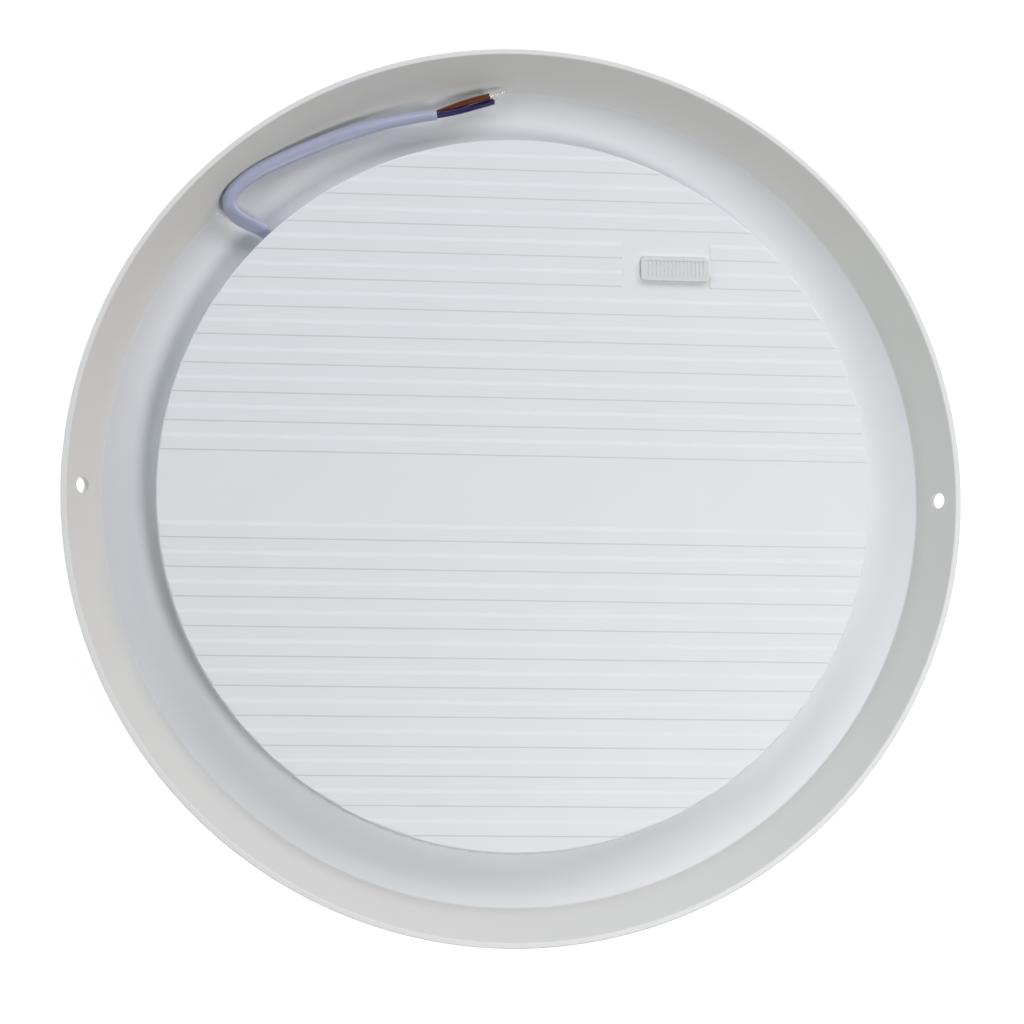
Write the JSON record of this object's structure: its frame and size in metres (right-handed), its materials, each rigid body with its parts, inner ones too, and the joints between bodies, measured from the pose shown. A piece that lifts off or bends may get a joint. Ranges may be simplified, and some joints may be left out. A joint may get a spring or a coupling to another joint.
{
  "type": "round led ceiling light",
  "caption": "Round surface ceiling light seen from its rear: flared skirt, ribbed central drum, slide selector and a short stripped supply cord.",
  "frame": {"origin": "centre of the opal front face, on which the light stands", "axes": "+Z towards the ceiling side, along the light's axis; +X through the right side screw hole; +Y completes the set, towards the selector's side"},
  "size_m": [0.3, 0.3, 0.034],
  "materials": {
    "housing_plastic": "moulded white ABS, fine satin texture",
    "opal_plastic": "opal polystyrene, smooth satin",
    "seal_foam": "soft closed-cell foam",
    "gear_paint": "white powder-coated steel sheet",
    "screw_zinc": "zinc-plated steel",
    "led_board_white": "white solder mask on aluminium",
    "warm_phosphor": "orange phosphor silicone in a white package",
    "cool_phosphor": "yellow phosphor silicone in a white package",
    "nylon_white": "natural nylon",
    "lead_pvc": "white PVC insulation",
    "fibre_sheet": "thin polyester sheet",
    "circuit_board": "glass-fibre board with green solder mask",
    "terminal_plastic": "grey moulded terminal block",
    "resistor_body": "cemented resistor coating",
    "varistor_epoxy": "blue epoxy dip",
    "film_case": "yellow moulded case",
    "chip_epoxy": "black moulded epoxy",
    "capacitor_sleeve": "dark shrink sleeve",
    "ferrite": "sintered ferrite",
    "bobbin_plastic": "black phenolic",
    "winding_tape": "yellow polyester tape over copper wire",
    "switch_can": "tinned steel",
    "switch_base_plastic": "brown phenolic",
    "contact_metal": "silver-plated brass",
    "slider_plastic": "black nylon",
    "knob_plastic": "moulded light grey-white ABS",
    "grommet_rubber": "white rubber",
    "clamp_plastic": "white nylon",
    "cord_pvc": "white PVC sheath",
    "brown_pvc": "brown PVC insulation",
    "blue_pvc": "blue PVC insulation",
    "copper": "tinned copper strands"
  },
  "bodies": {
    "housing": {"rear_housing": "housing_plastic", "diffuser": "opal_plastic", "diffuser_seal": "seal_foam", "gear_plate": "gear_paint", "led_board": "led_board_white", "warm_leds": "warm_phosphor", "cool_leds": "cool_phosphor", "gear_plate_screws": "screw_zinc", "led_board_screws": "screw_zinc", "driver_board_screws": "screw_zinc", "cord_clamp_screws": "screw_zinc", "insulation_sheet": "fibre_sheet", "driver_board": "circuit_board", "input_terminal": "terminal_plastic", "output_connector": "nylon_white", "film_capacitor": "film_case", "driver_chip": "chip_epoxy", "bridge_rectifier": "chip_epoxy", "output_diode": "chip_epoxy", "chip_resistors": "chip_epoxy", "bulk_capacitor": "capacitor_sleeve", "output_capacitor": "capacitor_sleeve", "fuse_resistor": "resistor_body", "varistor": "varistor_epoxy", "transformer_core": "ferrite", "transformer_winding": "winding_tape", "transformer_bobbin": "bobbin_plastic", "switch_shell": "switch_can", "switch_base": "switch_base_plastic", "switch_contacts": "contact_metal", "cord_grommet": "grommet_rubber", "cord_clamp": "clamp_plastic", "cord_tail": "cord_pvc", "tail_brown_core": "brown_pvc", "tail_blue_core": "blue_pvc", "supply_cord": "cord_pvc", "brown_core": "brown_pvc", "blue_core": "blue_pvc", "brown_strands": "copper", "blue_strands": "copper", "led_connector": "nylon_white", "led_leads": "lead_pvc"},
    "selector": {"selector_knob": "knob_plastic", "switch_slider": "slider_plastic", "switch_wiper": "contact_metal"}
  },
  "joints": [
    {"name": "selector_slide", "type": "slide", "parent": "housing", "child": "selector", "axis": [-1, 0, 0], "range_m": [0, 0.005]}
  ]
}
